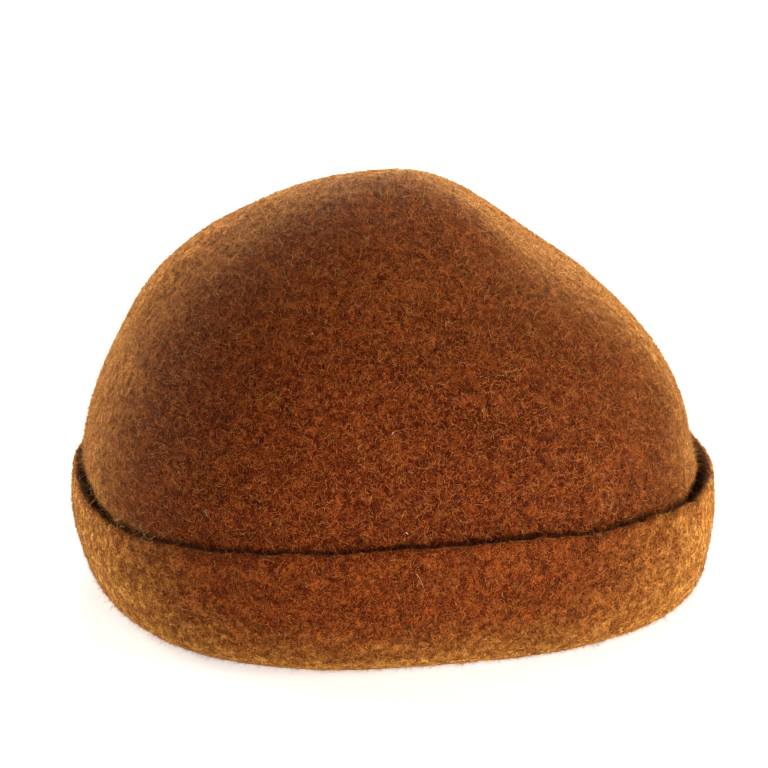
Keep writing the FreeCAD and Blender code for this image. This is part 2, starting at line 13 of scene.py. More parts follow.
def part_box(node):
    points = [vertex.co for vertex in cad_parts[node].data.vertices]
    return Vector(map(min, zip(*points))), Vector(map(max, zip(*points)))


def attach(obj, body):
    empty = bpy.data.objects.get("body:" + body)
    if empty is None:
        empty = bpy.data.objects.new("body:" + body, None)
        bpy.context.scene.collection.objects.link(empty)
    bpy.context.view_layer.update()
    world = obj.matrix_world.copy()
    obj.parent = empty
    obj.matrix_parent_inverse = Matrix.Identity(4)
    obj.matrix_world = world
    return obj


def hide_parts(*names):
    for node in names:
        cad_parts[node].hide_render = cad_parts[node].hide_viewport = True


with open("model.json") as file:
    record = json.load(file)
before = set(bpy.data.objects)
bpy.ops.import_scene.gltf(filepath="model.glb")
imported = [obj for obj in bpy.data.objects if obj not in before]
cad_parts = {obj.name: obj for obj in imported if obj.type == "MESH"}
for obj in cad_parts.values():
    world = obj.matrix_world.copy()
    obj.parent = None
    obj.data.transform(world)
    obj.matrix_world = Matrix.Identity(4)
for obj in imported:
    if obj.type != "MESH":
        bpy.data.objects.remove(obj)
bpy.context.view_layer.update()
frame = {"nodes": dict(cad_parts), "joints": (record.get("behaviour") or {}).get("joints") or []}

NODES = frame["nodes"]
MM = 0.001


# ---------------------------------------------------------------------------------------------------------
# Camera, light and floor
# ---------------------------------------------------------------------------------------------------------

CAMERA_AZIMUTH = math.radians(77.25)
CAMERA_ELEVATION = math.radians(18.6)
CAMERA_AWAY = 1.412
CAMERA_LENS = 174.3
CAMERA_AIM = 0.0766  # height that the camera looks at
CAMERA_LEFT = 0.0019  # how far left of the hat's axis it looks


def direction(azimuth, elevation):
    flat = math.cos(elevation)
    return Vector((math.sin(azimuth) * flat, -math.cos(azimuth) * flat, math.sin(elevation)))


def make_camera():
    camera = bpy.data.objects.new("camera", bpy.data.cameras.new("camera"))
    bpy.context.scene.collection.objects.link(camera)
    camera.data.lens = CAMERA_LENS
    camera.data.sensor_width = 36.0
    camera.data.clip_start = 0.05
    towards = direction(CAMERA_AZIMUTH, CAMERA_ELEVATION)
    right = Vector((math.cos(CAMERA_AZIMUTH), math.sin(CAMERA_AZIMUTH), 0))
    aim = Vector((0, 0, CAMERA_AIM)) - right * CAMERA_LEFT
    camera.location = aim + towards * CAMERA_AWAY
    camera.rotation_mode = "QUATERNION"
    camera.rotation_quaternion = (-towards).to_track_quat("-Z", "Y")
    bpy.context.scene.camera = camera
    bpy.context.scene.view_settings.view_transform = "Standard"


# A high-key product set: a soft key from the right, and strong rims from behind on both sides.
# Azimuth and elevation in degrees, distance and size in metres, power in watts, and colour.
SOFTBOXES = {
    "key": (134, 18, 1.2, 0.50, 10.5, (1.0, 0.92, 0.80)),
    "front": (97, 16, 1.5, 0.35, 6.8, (1.0, 0.92, 0.85)),
    "low_right": (112, 2, 1.3, 0.40, 6, (1.0, 0.92, 0.78)),
    "rim_left": (-38, 14, 1.0, 0.60, 10, (1.0, 0.91, 0.76)),
    "rim_right": (196, 14, 1.0, 0.60, 2.4, (1.0, 0.91, 0.76)),
    "rim_top": (257, 34, 1.0, 0.60, 23, (1.0, 0.92, 0.78)),
}
SOFTBOX_AIM = Vector((0, 0, 0.07))
TENT_COLOUR = (1.0, 0.92, 0.82, 1)
TENT_STRENGTH = 0.18
FLOOR_REACH = 6.0
FLOOR_COLOUR = (0.80, 0.80, 0.80, 1)
FLOOR_GLOW = (1.0, 0.98, 0.95, 1)
FLOOR_GLOW_STRENGTH = 0.62


def soft_light(name, azimuth, elevation, away, size, power, colour):
    """A square studio softbox that points at the middle of the hat."""
    light = bpy.data.lights.new(name, "AREA")
    light.shape = "SQUARE"
    light.size = size
    light.energy = power
    light.color = colour
    thing = bpy.data.objects.new(name, light)
    bpy.context.scene.collection.objects.link(thing)
    towards = direction(math.radians(azimuth), math.radians(elevation))
    thing.location = SOFTBOX_AIM + towards * away
    thing.rotation_mode = "QUATERNION"
    thing.rotation_quaternion = (-towards).to_track_quat("-Z", "Y")


def make_surround():
    """A white light tent: seen as white, and lighting the hat softly."""
    world = bpy.data.worlds.new("surround")
    bpy.context.scene.world = world
    world.use_nodes = True
    tree = world.node_tree
    seen = tree.nodes["Background"]
    seen.inputs["Color"].default_value = (1.0, 1.0, 1.0, 1)
    seen.inputs["Strength"].default_value = 1.0
    lighting = tree.nodes.new("ShaderNodeBackground")
    lighting.inputs["Color"].default_value = TENT_COLOUR
    lighting.inputs["Strength"].default_value = TENT_STRENGTH
    path = tree.nodes.new("ShaderNodeLightPath")
    choose = tree.nodes.new("ShaderNodeMixShader")
    tree.links.new(path.outputs["Is Camera Ray"], choose.inputs[0])
    tree.links.new(lighting.outputs[0], choose.inputs[1])
    tree.links.new(seen.outputs[0], choose.inputs[2])
    tree.links.new(choose.outputs[0], tree.nodes["World Output"].inputs["Surface"])


def make_floor():
    mesh = bpy.data.meshes.new("floor")
    corners = [(FLOOR_REACH * x, FLOOR_REACH * y, 0) for x, y in ((-1, -1), (1, -1), (1, 1), (-1, 1))]
    mesh.from_pydata(corners, [], [(0, 1, 2, 3)])
    floor = bpy.data.objects.new("floor", mesh)
    bpy.context.scene.collection.objects.link(floor)
    material = bpy.data.materials.new("pale_floor")
    material.use_nodes = True
    shader = material.node_tree.nodes["Principled BSDF"]
    shader.inputs["Base Color"].default_value = FLOOR_COLOUR
    shader.inputs["Roughness"].default_value = 0.9
    shader.inputs["Emission Color"].default_value = FLOOR_GLOW
    shader.inputs["Emission Strength"].default_value = FLOOR_GLOW_STRENGTH
    mesh.materials.append(material)


# ---------------------------------------------------------------------------------------------------------
# Material nodes
# ---------------------------------------------------------------------------------------------------------


def grey(value):
    return (value, value, value)


def scaled(colour, factor):
    return tuple(factor * channel for channel in colour)


class Shader:
    """A material under construction: short calls that add one node each and return its output."""

    def __init__(self, name):
        self.material = bpy.data.materials.new(name)
        self.material.use_nodes = True
        self.tree = self.material.node_tree
        self.surface = self.tree.nodes["Principled BSDF"]
        self.place = self.tree.nodes.new("ShaderNodeTexCoord").outputs["Object"]

    def node(self, kind, **settings):
        node = self.tree.nodes.new(kind)
        for key, value in settings.items():
            setattr(node, key, value)
        return node

    def feed(self, socket, value):
        if isinstance(value, bpy.types.NodeSocket):
            self.tree.links.new(value, socket)
        else:
            socket.default_value = value

    def noise(self, scale, detail=2.0, rough=0.5, warp=0.0, place=None):
        node = self.node("ShaderNodeTexNoise")
        self.feed(node.inputs["Vector"], place or self.place)
        self.feed(node.inputs["Scale"], scale)
        self.feed(node.inputs["Detail"], detail)
        self.feed(node.inputs["Roughness"], rough)
        self.feed(node.inputs["Distortion"], warp)
        return node.outputs[0]

    def ramp(self, value, *stops):
        """A colour ramp through (position, colour) stops."""
        node = self.node("ShaderNodeValToRGB")
        self.feed(node.inputs[0], value)
        steps = node.color_ramp.elements
        while len(steps) < len(stops):
            steps.new(0.5)
        for step, (position, colour) in zip(steps, stops):
            step.position = position
            step.color = (*colour, 1)
        return node.outputs[0]

    def math(self, operation, first, second=0.0):
        node = self.node("ShaderNodeMath", operation=operation)
        self.feed(node.inputs[0], first)
        self.feed(node.inputs[1], second)
        return node.outputs[0]

    def mix(self, share, first, second, blend="MIX"):
        node = self.node("ShaderNodeMix", data_type="RGBA", blend_type=blend)
        self.feed(node.inputs[0], share)
        self.feed(node.inputs[6], first)
        self.feed(node.inputs[7], second)
        return node.outputs[2]

    def bump(self, height, strength, distance):
        node = self.node("ShaderNodeBump")
        self.feed(node.inputs["Height"], height)
        self.feed(node.inputs["Strength"], strength)
        self.feed(node.inputs["Distance"], distance)
        return node.outputs[0]

    def set(self, **sockets):
        """Sets the shader's sockets. A name's underscores stand for spaces."""
        for key, value in sockets.items():
            self.feed(self.surface.inputs[key.replace("_", " ")], value)
        return self.material


# The felt's own colours, and the golden colours of a sheen painted into it where it is seen edge on.
FELT_DARK = (0.040, 0.0050, 0.0008)
FELT_MID = (0.118, 0.0165, 0.0024)
FELT_LIGHT = (0.30, 0.072, 0.014)
PAINTED_SHEEN_DARK = (0.16, 0.038, 0.005)
PAINTED_SHEEN_MID = (0.60, 0.230, 0.042)
PAINTED_SHEEN_LIGHT = (1.0, 0.61, 0.20)
FELT_SHEEN = (1.0, 0.46, 0.11, 1)
NAP_SHEEN = (1.0, 0.55, 0.15, 1)
# Tone and painted light: both copies of the felt are tinted warm, and the brim's copy is painted lighter
# than the crown's.
CROWN_TONE_AND_SHADE = (0.98, 0.92, 0.82)
BRIM_TONE_AND_LIGHT = (1.14, 1.09, 0.80)
PAINTED_SHADE_TINT = (0.22, 0.11, 0.07, 1)  # painted shade: the felt's colour is multiplied by this in the gap under the cuff's cut edge, inside the cuff and a little at its cut edge

# How far a face turns from the eye where the painted golden sheen starts, is a third there, and is all
# there.
CROWN_GLOW = (0.47, 0.69, 0.82)
BRIM_GLOW = (0.18, 0.46, 0.82)


def tangle(s, scale, bands, offset):
    """A field of fine curly lines, from 0 to 1: the contours of a smooth noise."""
    shift = s.node("ShaderNodeVectorMath", operation="ADD")
    s.feed(shift.inputs[0], s.place)
    s.feed(shift.inputs[1], (offset, offset * 0.7, offset * 1.3))
    field = s.noise(scale, 1.5, 0.6, 0.7, shift.outputs[0])
    return s.math("MULTIPLY", s.math("PINGPONG", s.math("MULTIPLY", field, bands), 0.5), 2.0)


def felt_material(name, tone_and_light, glow):
    """Brushed wool felt: a tangle of fine fibres in browns, with a golden sheen painted into its colour
    where it is seen edge on.

    A noise's scale is its number of lumps in a metre.
    """
    s = Shader(name)
    threads = s.math("ADD", tangle(s, 210, 11, 0.0), tangle(s, 260, 10, 0.31))
    threads = s.math("ADD", threads, tangle(s, 330, 9, 0.77))
    grain = s.noise(1100, 3, 0.7, 1.0)
    clumps = s.noise(170, 3, 0.6, 0.8)
    pebble = s.noise(400, 1.5, 0.5, 0.5)
    clouds = s.noise(18, 2, 0.5)
    fine = s.math("ADD", s.math("MULTIPLY", threads, 0.22), s.math("MULTIPLY", grain, 0.34))
    shade = s.math("ADD", fine, s.math("MULTIPLY", s.math("SUBTRACT", clumps, 0.5), 0.60))
    shade = s.math("ADD", shade, s.math("MULTIPLY", s.math("SUBTRACT", pebble, 0.5), 0.65))
    # Painted sheen: the colour turns golden as the face turns from the eye, except where painted shade lies.
    facing = s.node("ShaderNodeLayerWeight")
    start, third, full = glow
    edge = s.ramp(facing.outputs["Facing"], (start, grey(0)), (third, grey(0.34)), (full, grey(1)))
    # Painted shade: a point attribute that darkens the felt in the gap between crown and cuff, and takes the
    # painted sheen away there.
    painted_shade = s.node("ShaderNodeAttribute", attribute_name="painted_shade").outputs["Fac"]
    edge = s.math("MULTIPLY", edge, s.math("SUBTRACT", 1.0, painted_shade))
    middle = s.ramp(shade, (0.31, FELT_DARK), (0.50, FELT_MID), (0.74, FELT_LIGHT))
    rim = s.ramp(shade, (0.34, PAINTED_SHEEN_DARK), (0.52, PAINTED_SHEEN_MID), (0.71, PAINTED_SHEEN_LIGHT))
    colour = s.mix(edge, middle, rim)
    patches = s.ramp(clouds, (0.3, (0.84, 0.82, 0.80)), (0.7, (1.12, 1.12, 1.10)))
    colour = s.mix(1.0, colour, patches, "MULTIPLY")
    # Tone and painted light: the copy's tint, lighter for the brim than for the crown.
    colour = s.mix(1.0, colour, (*tone_and_light, 1), "MULTIPLY")
    # Painted shade mixed in by the attribute.
    colour = s.mix(painted_shade, colour, s.mix(1.0, colour, PAINTED_SHADE_TINT, "MULTIPLY"))
    rise = s.math("ADD", fine, s.math("MULTIPLY", s.math("ADD", clumps, pebble), 0.9))
    return s.set(
        Base_Color=colour,
        Roughness=s.ramp(fine, (0.2, grey(0.82)), (0.8, grey(0.97))),
        Normal=s.bump(rise, 1.0, 0.0014),
        Specular_IOR_Level=0.06,
        Sheen_Weight=0.22,
        Sheen_Roughness=0.30,
        Sheen_Tint=FELT_SHEEN,
    )


# ---------------------------------------------------------------------------------------------------------
# Felt
# ---------------------------------------------------------------------------------------------------------


def add_piece(name, mesh, material, body="hat"):
    """Links a mesh as a piece of the hat that rides on a body."""
    piece = bpy.data.objects.new(name, mesh)
    bpy.context.scene.collection.objects.link(piece)
    mesh.materials.clear()
    mesh.materials.append(material)
    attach(piece, body)
    return piece


def even_mesh(node, voxel, smooth_steps):
    """An even, softened mesh of a CAD node."""
    rough = bpy.data.objects.new(f"{node}_rough", NODES[node].data.copy())
    bpy.context.scene.collection.objects.link(rough)
    remesh = rough.modifiers.new("even", "REMESH")
    remesh.mode = "VOXEL"
    remesh.voxel_size = voxel
    remesh.use_smooth_shade = True
    smooth = rough.modifiers.new("soft", "SMOOTH")
    smooth.factor = 0.5
    smooth.iterations = smooth_steps
    graph = bpy.context.evaluated_depsgraph_get()
    mesh = bpy.data.meshes.new_from_object(rough.evaluated_get(graph))
    bpy.data.objects.remove(rough)
    return mesh


def coordinates(mesh):
    flat = np.empty(len(mesh.vertices) * 3)
    mesh.vertices.foreach_get("co", flat)
    return flat.reshape(-1, 3)


def normals(mesh):
    flat = np.empty(len(mesh.vertices) * 3, np.float32)
    mesh.vertex_normals.foreach_get("vector", flat)
    return flat.reshape(-1, 3).astype(float)


def set_coordinates(mesh, points):
    """Moves a mesh's points, and keeps what would sink into the ground on it."""
    points[:, 2] = np.maximum(points[:, 2], 0)
    mesh.vertices.foreach_set("co", points.reshape(-1).astype(np.float32))
    mesh.update()


def plan_angle(points):
    return np.arctan2(points[:, 1], points[:, 0])


def on_ground(points):
    """The places on the ground right under points."""
    return np.stack([points[:, 0], points[:, 1], np.zeros(len(points))], 1)


def lumps(points, scale, octaves=2):
    """Smooth noise at points, about -1 to 1, with features of a size in metres."""
    out = np.empty(len(points))
    for k, p in enumerate(points / scale):
        out[k] = noise.fractal(Vector(p), 1.0, 2.0, octaves)
    return out


SWELL_SIZE = 45 * MM
PEBBLE_SIZE = 4.2 * MM
ELSEWHERE = 3.0  # a shift that makes one noise differ from another


def hand_felted(mesh, soft, fine):
    """Gives the felt its hand-made unevenness: soft swells, and a fine pebble that brushing leaves."""
    points = coordinates(mesh)
    along = normals(mesh)
    rise = soft * lumps(points, SWELL_SIZE) + fine * lumps(points + ELSEWHERE, PEBBLE_SIZE, 3)
    set_coordinates(mesh, points + along * rise[:, None])


def dented(mesh, dents):
    """Presses shallow dents into the outside of a mesh: (place, radius, depth) each."""
    points = coordinates(mesh)
    along = normals(mesh)
    for place, radius, depth in dents:
        away = np.linalg.norm(points - np.array(place), axis=1) / radius
        points -= along * (depth * np.exp(-away * away))[:, None]
    set_coordinates(mesh, points)


def bell(value, centre, spread):
    return np.exp(-(((value - centre) / spread) ** 2))


LIP_READINGS = 120


def lip_height(mesh):
    """A function of plan angle that gives the height of the cuff's cut edge."""
    points = coordinates(mesh)
    share = (plan_angle(points) + math.pi) / (2 * math.pi)
    sector = (share * LIP_READINGS).astype(int) % LIP_READINGS
    tops = np.zeros(LIP_READINGS)
    np.maximum.at(tops, sector, points[:, 2])
    centres = (np.arange(LIP_READINGS) + 0.5) / LIP_READINGS * 2 * math.pi - math.pi
    return lambda angle: np.interp(angle, centres, tops, period=2 * math.pi)


# Marks of the hand-cut edge: plan angle and width in degrees, and how far the edge rises there. The widest
# is the stretch at the back of the far side where the cuff hangs lower. The rest are small.
LIP_MARKS = (
    (16, 1.4, 0.6 * MM),
    (27, 5.0, -1.0 * MM),
    (37, 0.9, -1.3 * MM),
    (52, 0.9, -1.2 * MM),
    (-20, 6.0, -0.5 * MM),
    (-64, 1.2, -0.9 * MM),
    (104, 26, -4.2 * MM),
    (118, 1.0, -1.1 * MM),
    (171, 4.0, 0.7 * MM),
    (-141, 0.9, -1.2 * MM),
)
ROLL_SHIFT = 1.8 * MM  # how far the soft roll has settled towards the back
ROLL_FULLNESS = 2.4 * MM  # how far the roll bulges at its foot, at the front and the back
ROLL_HIGH = 30 * MM  # height up to which the roll has settled
BULGE_HIGH = 6 * MM  # height of the middle of the bulge
BULGE_SPREAD = 9 * MM
LIP_REACH = 12 * MM  # how far below the cut edge its unevenness dies away


def settled(mesh):
    """Lets the roll sag as soft felt does, and roughens the cut edge of the cuff."""
    top_at = lip_height(mesh)
    points = coordinates(mesh)
    along = normals(mesh)
    angle = plan_angle(points)
    low = np.clip(1 - points[:, 2] / ROLL_HIGH, 0, 1)
    outside = np.clip(2 * (along[:, 0] * np.cos(angle) + along[:, 1] * np.sin(angle)), 0, 1)
    radius = np.hypot(points[:, 0], points[:, 1])
    bulge = ROLL_FULLNESS * bell(points[:, 2], BULGE_HIGH, BULGE_SPREAD) * np.sin(angle) ** 2 * outside
    points[:, :2] *= (1 + bulge / radius)[:, None]
    points[:, 1] += ROLL_SHIFT * low * low * (3 - 2 * low) * outside
    near_lip = np.clip(1 - (top_at(angle) - points[:, 2]) / LIP_REACH, 0, 1)
    turn = np.degrees(angle)
    rise = np.zeros(len(points))
    for centre, wide, amount in LIP_MARKS:
        rise += amount * bell((turn - centre + 180) % 360 - 180, 0, wide)
    ring = on_ground(points)
    rise += 0.5 * MM * lumps(ring, 14 * MM) + 0.35 * MM * lumps(ring + 7.0, 4.5 * MM, 3)
    points[:, 2] += rise * near_lip
    sway = 0.8 * MM * lumps(ring + 1.0, 50 * MM) * near_lip
    points[:, :2] *= (1 + sway / radius)[:, None]
    set_coordinates(mesh, points)


def mark_painted_shade(mesh, share):
    """Records how much painted shade each point of the felt gets from its material."""
    layer = mesh.attributes.new("painted_shade", "FLOAT", "POINT")
    layer.data.foreach_set("value", np.clip(share, 0, 1).astype(np.float32))


# Dents at the back of the crown's near side: place, radius and depth.
CROWN_DENTS = (
    ((0.066, 0.075, 0.083), 8 * MM, 0.9 * MM),
    ((0.060, 0.084, 0.086), 5 * MM, 0.7 * MM),
)


def make_crown(top_at):
    """The crown, with painted shade from just above the cuff's cut edge down, and more so at the front."""
    mesh = even_mesh("crown", 1.5 * MM, 3)
    hand_felted(mesh, 0.55 * MM, 0.22 * MM)
    dented(mesh, CROWN_DENTS)
    points = coordinates(mesh)
    angle = plan_angle(points)
    below = top_at(angle) - points[:, 2]
    above = (0.85 - 0.45 * np.sin(angle) + 0.7 * lumps(on_ground(points), 16 * MM)) * MM
    mark_painted_shade(mesh, (below + above) / (1.5 * MM) * outward(points, normals(mesh)))
    material = felt_material("crown_felt", CROWN_TONE_AND_SHADE, CROWN_GLOW)
    crown = add_piece("crown_felt", mesh, material)
    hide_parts("crown")
    return crown


def make_brim():
    """The brim, with painted shade inside the cuff and a little at its cut edge."""
    mesh = even_mesh("brim", 1.3 * MM, 2)
    settled(mesh)
    hand_felted(mesh, 0.35 * MM, 0.20 * MM)
    points = coordinates(mesh)
    below = lip_height(mesh)(plan_angle(points)) - points[:, 2]
    inside = ~outward(points, normals(mesh)) & (points[:, 2] > 3 * MM)
    mark_painted_shade(mesh, np.maximum(0.3 - below / (3.0 * MM), 1.0 * inside))
    material = felt_material("brim_felt", BRIM_TONE_AND_LIGHT, BRIM_GLOW)
    brim = add_piece("brim_felt", mesh, material)
    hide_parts("brim")
    return brim


# ---------------------------------------------------------------------------------------------------------
# Nap: the loose fibres that brushing raises from the felt
# ---------------------------------------------------------------------------------------------------------


def surface_samples(mesh, count, draw, wanted, painted_shade_limit=1.0):
    """Random places on felt, evenly by area, and their normals.

    wanted keeps or drops faces by their places and normals. Faces with more painted shade than the limit are
    dropped too.
    """
    mesh.calc_loop_triangles()
    tris = np.empty(len(mesh.loop_triangles) * 3, np.int64)
    mesh.loop_triangles.foreach_get("vertices", tris)
    tris = tris.reshape(-1, 3)
    points, along = coordinates(mesh), normals(mesh)
    painted_shade = np.empty(len(points), np.float32)
    mesh.attributes["painted_shade"].data.foreach_get("value", painted_shade)
    kept = wanted(points[tris].mean(1), along[tris].mean(1))
    tris = tris[kept & (painted_shade[tris].mean(1) <= painted_shade_limit)]
    corners = points[tris]
    area = np.linalg.norm(np.cross(corners[:, 1] - corners[:, 0], corners[:, 2] - corners[:, 0]), axis=1)
    chosen = draw.choice(len(tris), count, p=area / area.sum())
    first, second = draw.random((2, count))
    flip = first + second > 1
    first[flip] = 1 - first[flip]
    second[flip] = 1 - second[flip]
    weights = np.stack([1 - first - second, first, second], 1)
    place = (corners[chosen] * weights[:, :, None]).sum(1)
    normal = (along[tris[chosen]] * weights[:, :, None]).sum(1)
    return place, normal / np.linalg.norm(normal, axis=1)[:, None]


def unit(vectors):
    return vectors / np.maximum(np.linalg.norm(vectors, axis=1), 1e-9)[:, None]


ROOT_DEPTH = 0.1 * MM
TIP_TAPER = 0.75  # share of a fibre's width that is lost at its tip


def fibre_strips(name, roots, draw, long, wide, lift, curl, steps=3, sag=0.25):
    """A mesh of narrow ribbons, one fibre each, that leave the felt at a random slant and curl.

    long and lift are the limits of a fibre's length and of its slant in radians.
    """
    place, normal = roots
    count = len(place)
    side = unit(np.cross(normal, draw.normal(size=(count, 3))))
    slant = draw.uniform(*lift, count)[:, None]
    heading = unit(side * np.cos(slant) + normal * np.sin(slant))
    length = draw.uniform(*long, count)[:, None]
    bend = unit(draw.normal(size=(count, 3))) * curl
    roll = unit(np.cross(heading, normal + 0.7 * unit(draw.normal(size=(count, 3)))))
    rings = []
    point = place - normal * ROOT_DEPTH
    for k in range(steps):
        share = k / (steps - 1)
        half = wide / 2 * (1 - TIP_TAPER * share)
        rings += [point - roll * half, point + roll * half]
        point = point + heading * length / (steps - 1)
        heading = unit(heading + bend * 2 / (steps - 1) - normal * sag * 2 / (steps - 1))
    verts = np.stack(rings, 1).reshape(-1, 3)
    verts[:, 2] = np.maximum(verts[:, 2], 0)
    base = (np.arange(count) * 2 * steps)[:, None]
    quads = [base + np.array([2 * k, 2 * k + 1, 2 * k + 3, 2 * k + 2]) for k in range(steps - 1)]
    mesh = quad_mesh(name, verts, np.stack(quads, 1).reshape(-1, 4))
    mesh.normals_split_custom_set_from_vertices(np.repeat(normal, 2 * steps, axis=0).tolist())
    return mesh


def quad_mesh(name, verts, faces):
    mesh = bpy.data.meshes.new(name)
    mesh.vertices.add(len(verts))
    mesh.loops.add(faces.size)
    mesh.polygons.add(len(faces))
    mesh.vertices.foreach_set("co", verts.reshape(-1).astype(np.float32))
    mesh.loops.foreach_set("vertex_index", faces.reshape(-1).astype(np.int32))
    mesh.polygons.foreach_set("loop_start", np.arange(0, faces.size, 4, dtype=np.int32))
    mesh.update(calc_edges=True)
    return mesh


def fibre_material(name, colour, sheen):
    """A fibre is thinner than a pixel, so its colour is plain."""
    s = Shader(name)
    return s.set(
        Base_Color=(*colour, 1),
        Roughness=0.75,
        Specular_IOR_Level=0.15,
        Sheen_Weight=sheen,
        Sheen_Roughness=0.35,
        Sheen_Tint=NAP_SHEEN,
    )


# Colour and share of the fibres in each shade.
NAP_SHADES = {
    "dark": ((0.040, 0.0050, 0.0008), 0.20),
    "brown": ((0.120, 0.0190, 0.0030), 0.28),
    "russet": ((0.235, 0.048, 0.0080), 0.28),
    "pale": ((0.42, 0.118, 0.018), 0.24),
}
NAP_COUNT = 165000
FUZZ_COUNT = 23000
FRINGE_COUNT = 6500
FUZZ_COLOUR = (0.52, 0.21, 0.055)
STRAY_COLOUR = (0.66, 0.42, 0.19)
LINT_COLOUR = (0.85, 0.83, 0.80)


MIDDLE = 0.05  # height of the point on the axis that the felt's outside looks away from
NAP_LIMIT = 0.4  # felt with more painted shade than this has no nap


def outward(points, along):
    """Keeps the felt's outside: the faces that look away from the middle of the hat."""
    flat = np.stack([points[:, 0], points[:, 1], points[:, 2] - MIDDLE], 1)
    return (flat * along).sum(1) > 0


def joined(parts):
    return [np.concatenate(part) for part in zip(*parts)]


def fibres_over(felts, count, draw):
    """Roots and normals of fibres, spread evenly over the outside of several pieces of felt, away from its
    painted shade.
    """
    areas = [sum(p.area for p in felt.data.polygons) for felt in felts]
    shares = [int(count * area / sum(areas)) for area in areas]
    return joined(
        surface_samples(felt.data, share, draw, outward, NAP_LIMIT) for felt, share in zip(felts, shares)
    )


def add_fibres(mesh, colour, sheen):
    return add_piece(mesh.name, mesh, fibre_material(mesh.name, colour, sheen))


def make_nap(felts, total):
    """Four pieces of fibres, one shade each, that lie over the outside of all the felt."""
    draw = np.random.default_rng(11)
    for shade, (colour, share) in NAP_SHADES.items():
        roots = fibres_over(felts, int(total * share), draw)
        mesh = fibre_strips(
            f"nap_{shade}",
            roots,
            draw,
            long=(1.2 * MM, 3.4 * MM),
            wide=0.19 * MM,
            lift=(0.03, 0.50),
            curl=0.8,
        )
        add_fibres(mesh, colour, 0.6)


def make_fuzz(felts, count):
    """Thin pale hairs that stand off the felt and blur its outline."""
    draw = np.random.default_rng(5)
    mesh = fibre_strips(
        "nap_fuzz",
        fibres_over(felts, count, draw),
        draw,
        long=(1.8 * MM, 5.2 * MM),
        wide=0.12 * MM,
        lift=(0.5, 1.5),
        curl=1.1,
        steps=4,
        sag=0.1,
    )
    add_fibres(mesh, FUZZ_COLOUR, 0.5)


def make_lip_fringe(brim, count):
    """The short ragged fibres of the cuff's cut edge."""
    draw = np.random.default_rng(8)
    top_at = lip_height(brim.data)

    def on_lip(points, along):
        return top_at(plan_angle(points)) - points[:, 2] < 1.6 * MM

    mesh = fibre_strips(
        "lip_fringe",
        surface_samples(brim.data, count, draw, on_lip),
        draw,
        long=(1.0 * MM, 2.8 * MM),
        wide=0.11 * MM,
        lift=(0.2, 1.4),
        curl=1.0,
        steps=4,
        sag=0.1,
    )
    add_fibres(mesh, NAP_SHADES["brown"][0], 0.1)


FRONT_GAP = (-1.45, 0.50)  # plan angle and half width in radians of the stretch where hairs cross the gap


def make_strays(brim, crown):
    """Long curled hairs: many across the gap at the front, and a few anywhere."""
    draw = np.random.default_rng(21)
    top_at = lip_height(brim.data)

    def at_front_gap(points, along):
        angle = plan_angle(points)
        below = top_at(angle) - points[:, 2]
        near = np.abs(angle - FRONT_GAP[0]) < FRONT_GAP[1]
        return (below > -3 * MM) & (below < 2 * MM) & near & outward(points, along)

    parts = [
        surface_samples(crown.data, 110, draw, at_front_gap),
        surface_samples(crown.data, 26, draw, outward),
        surface_samples(brim.data, 30, draw, outward),
    ]
    mesh = fibre_strips(
        "stray_hairs",
        joined(parts),
        draw,
        long=(4.0 * MM, 9.5 * MM),
        wide=0.16 * MM,
        lift=(0.5, 1.4),
        curl=3.2,
        steps=11,
        sag=0.0,
    )
    add_fibres(mesh, STRAY_COLOUR, 0.3)


# Where specks of pale lint lie on the felt: plan angle in degrees, and height.
LINT_PLACES = ((-33.23, 120.48 * MM), (-11.98, 90.54 * MM), (-9.59, 56.76 * MM), (-48.17, 33.94 * MM))
LINT_STAND = 0.35 * MM  # how far a speck stands off the felt
OUTSIDE = 0.3  # a distance from the axis that is outside the hat


def make_lint(felts):
    """A few pale specks that lie where a level ray to the hat's axis first meets the felt."""
    draw = np.random.default_rng(3)
    trees = []
    for felt in felts:
        mesh = bmesh.new()
        mesh.from_mesh(felt.data)
        trees.append(BVHTree.FromBMesh(mesh))
        mesh.free()
    places, ups = [], []
    for angle, height in LINT_PLACES:
        out = Vector((math.cos(math.radians(angle)), math.sin(math.radians(angle)), 0))
        start = out * OUTSIDE + Vector((0, 0, height))
        hits = [tree.ray_cast(start, -out) for tree in trees]
        place, normal = min((hit for hit in hits if hit[0] is not None), key=lambda hit: hit[3])[:2]
        places.append(place + normal * LINT_STAND)
        ups.append(normal)
    mesh = fibre_strips(
        "lint",
        (np.array(places), np.array(ups)),
        draw,
        long=(0.8 * MM, 1.6 * MM),
        wide=0.24 * MM,
        lift=(0.1, 0.5),
        curl=0.8,
        steps=4,
    )
    add_fibres(mesh, LINT_COLOUR, 0.0)


# ---------------------------------------------------------------------------------------------------------
# What is sewn inside
# ---------------------------------------------------------------------------------------------------------

RIBBON_BROWN = (0.060, 0.028, 0.016)
RIBBON_LIGHT = (0.115, 0.058, 0.034)
THREAD_BROWN = (0.085, 0.030, 0.013)
THREAD_PALE = (0.50, 0.40, 0.27)
LABEL_GROUND = (0.050, 0.026, 0.017)
LABEL_LINE = (0.56, 0.40, 0.18)
SATIN = (0.74, 0.72, 0.67)
SATIN_SHADE = (0.56, 0.54, 0.50)
RIB_PITCH = 0.85 * MM
BAND_RADIUS = 94.5 * MM  # mean radius of the sweatband, by which its ribs are spaced
LABEL_SIZE = (44 * MM, 17 * MM)
TAB_SIZE = (12 * MM, 9 * MM)
CARE_SIZE = (20 * MM, 23 * MM)


def stripes(s, along, pitch):
    """Rounded ribs of a pitch in metres across a length in metres, from 0 to 1."""
    wave = s.math("SINE", s.math("MULTIPLY", along, 2 * math.pi / pitch))
    return s.math("ADD", s.math("MULTIPLY", wave, 0.5), 0.5)


